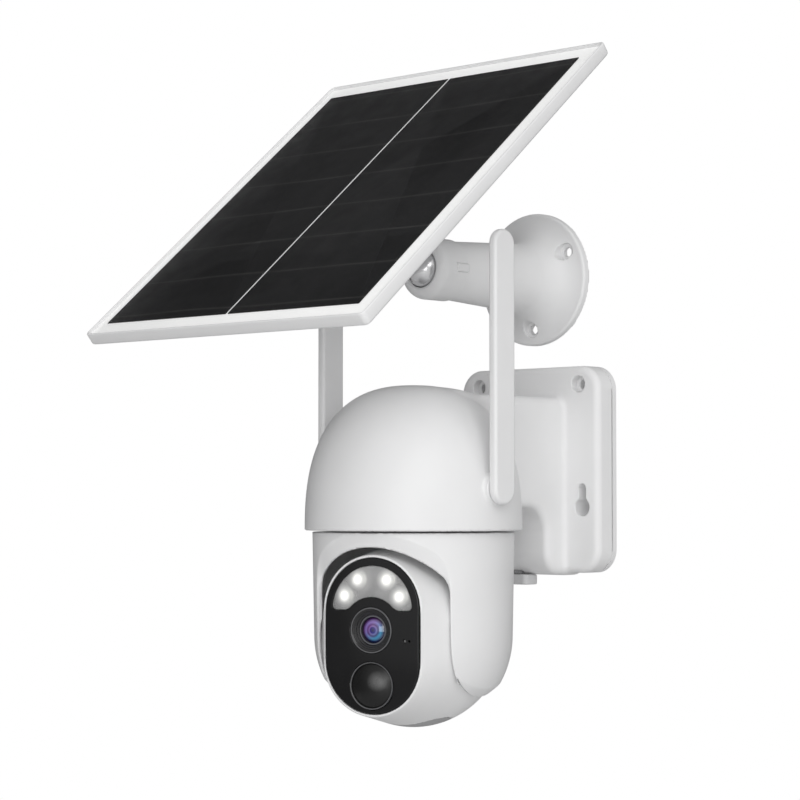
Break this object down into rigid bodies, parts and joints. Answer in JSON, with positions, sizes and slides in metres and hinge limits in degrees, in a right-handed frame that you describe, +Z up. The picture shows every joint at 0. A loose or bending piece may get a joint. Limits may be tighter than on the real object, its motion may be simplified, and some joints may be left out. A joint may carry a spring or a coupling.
{
  "type": "solar security camera",
  "caption": "Wall-mounted pan-and-tilt security camera with a domed body, paddle antennas, and a sloping solar panel on a ball-jointed wall bracket.",
  "frame": {"origin": "centre of the wall box's back face, on the wall", "axes": "+Y into the wall, -Y straight out from it, +Z up, +X to the right seen from in front of the wall"},
  "size_m": [0.195, 0.2391, 0.3496],
  "materials": {
    "white_plastic": "fine matt moulded shell",
    "black_rubber": "matt",
    "grey_rubber": "soft matt",
    "screw_steel": "plain",
    "plated_metal": "plated",
    "motor_steel": "plain",
    "circuit_board": "solder mask",
    "cell_wrap": "shrink sleeve",
    "black_plastic": "fine matt",
    "copper": "plain",
    "gear_nylon": "natural nylon",
    "brass": "plain",
    "gloss_black": "polished",
    "clear_lens": "clear polished",
    "reflector": "satin mirror",
    "led_lens": "clear dome over yellow phosphor",
    "coated_glass": "purple and blue coating",
    "ball_metal": "plain",
    "white_sheet": "smooth",
    "solar_cell": "dark with fine lines",
    "panel_glass": "clear with light sheen"
  },
  "bodies": {
    "wall_unit": {"rear_cover": "white_plastic", "housing": "white_plastic", "housing_gasket": "black_rubber", "housing_screws": "screw_steel", "dome_base": "white_plastic", "pan_motor": "motor_steel", "main_board": "circuit_board", "battery_left": "cell_wrap", "battery_right": "cell_wrap", "battery_holder": "black_plastic", "charge_socket": "plated_metal", "speaker": "black_plastic", "antenna_pin_left": "screw_steel", "antenna_pin_right": "screw_steel", "bracket": "white_plastic"},
    "port_cover": {"port_cover": "grey_rubber"},
    "antenna_left": {"antenna_left": "white_plastic", "antenna_element_left": "copper"},
    "antenna_right": {"antenna_right": "white_plastic", "antenna_element_right": "copper"},
    "pan_body": {"yoke": "white_plastic", "pan_gear": "gear_nylon", "tilt_axle_left": "screw_steel", "tilt_axle_right": "screw_steel", "tilt_gear": "gear_nylon"},
    "pan_pinion": {"pan_pinion": "brass"},
    "head": {"head_front": "white_plastic", "head_back": "white_plastic", "head_screws": "screw_steel", "face_plate": "gloss_black", "led_window": "clear_lens", "led_reflector": "reflector", "leds": "led_lens", "head_board": "circuit_board", "lens_ring": "black_plastic", "lens_barrel": "black_plastic", "lens_glass": "coated_glass", "sensor_board": "circuit_board", "pir_lens": "gloss_black", "pir_sensor": "plated_metal", "light_guide": "clear_lens", "microphone": "brass", "card_socket": "plated_metal", "tilt_motor": "motor_steel"},
    "tilt_pinion": {"tilt_pinion": "brass"},
    "card_cover": {"card_cover": "grey_rubber"},
    "reset_button": {"reset_button": "black_plastic"},
    "collar": {"bracket_collar": "white_plastic"},
    "ball_seat": {"ball_seat": "black_plastic"},
    "ball_stud": {"ball_stud": "ball_metal"},
    "panel": {"panel_frame": "white_plastic", "panel_backsheet": "white_sheet", "solar_cell_left": "solar_cell", "solar_cell_right": "solar_cell", "panel_glass": "panel_glass", "junction_box": "white_plastic", "cable_gland": "black_rubber", "panel_boss": "white_plastic", "panel_insert": "brass", "panel_boss_screws": "screw_steel"}
  },
  "joints": [
    {"name": "pan_turn", "type": "hinge", "parent": "wall_unit", "child": "pan_body", "pos_m": [0, -0.108, -0.032], "axis": [0, 0, 1], "range_deg": [-192, 158]},
    {"name": "pan_pinion_spin", "type": "hinge", "parent": "wall_unit", "child": "pan_pinion", "pos_m": [0, -0.144, -0.026], "axis": [0, 0, 1], "range_deg": [-800, 965]},
    {"name": "head_tilt", "type": "hinge", "parent": "pan_body", "child": "head", "pos_m": [0, -0.108, -0.0855], "axis": [0.9563, 0.2924, 0], "range_deg": [-5, 90]},
    {"name": "tilt_pinion_spin", "type": "hinge", "parent": "head", "child": "tilt_pinion", "pos_m": [-0.0076, -0.08314, -0.0855], "axis": [0.9563, 0.2924, 0], "range_deg": [-20, 301]},
    {"name": "antenna_left_fold", "type": "hinge", "parent": "wall_unit", "child": "antenna_left", "pos_m": [-0.06, -0.108, -0.011], "axis": [1, 0, 0], "range_deg": [-45, 135]},
    {"name": "antenna_right_fold", "type": "hinge", "parent": "wall_unit", "child": "antenna_right", "pos_m": [0.06, -0.108, -0.011], "axis": [1, 0, 0], "range_deg": [-45, 135]},
    {"name": "collar_turn", "type": "hinge", "parent": "wall_unit", "child": "collar", "pos_m": [-0.006, -0.085, 0.105], "axis": [0, -1, 0], "range_deg": [0, 45]},
    {"name": "seat_swivel", "type": "hinge", "parent": "wall_unit", "child": "ball_seat", "pos_m": [-0.006, -0.092, 0.105], "axis": [0, -1, 0], "range_deg": [-30, 30]},
    {"name": "stud_pitch", "type": "hinge", "parent": "ball_seat", "child": "ball_stud", "pos_m": [-0.006, -0.092, 0.105], "axis": [1, 0, 0], "range_deg": [-5, 40]},
    {"name": "panel_spin", "type": "hinge", "parent": "ball_stud", "child": "panel", "pos_m": [-0.006, -0.092, 0.105], "axis": [0, -0.6428, 0.766], "range_deg": [-90, 90]},
    {"name": "port_cover_pull", "type": "slide", "parent": "wall_unit", "child": "port_cover", "axis": [0, 0, -1], "range_m": [0, 0.012]},
    {"name": "card_cover_pull", "type": "slide", "parent": "head", "child": "card_cover", "axis": [0, 0, -1], "range_m": [0, 0.008]},
    {"name": "reset_press", "type": "slide", "parent": "head", "child": "reset_button", "axis": [0, 0, 1], "range_m": [0, 0.0006], "stiffness_N_per_m": 1500, "springref_m": -0.0004}
  ],
  "couplings": [
    {"joint": "pan_pinion_spin", "follows": "pan_turn", "ratio": -5},
    {"joint": "tilt_pinion_spin", "follows": "head_tilt", "ratio": 3.3333}
  ]
}
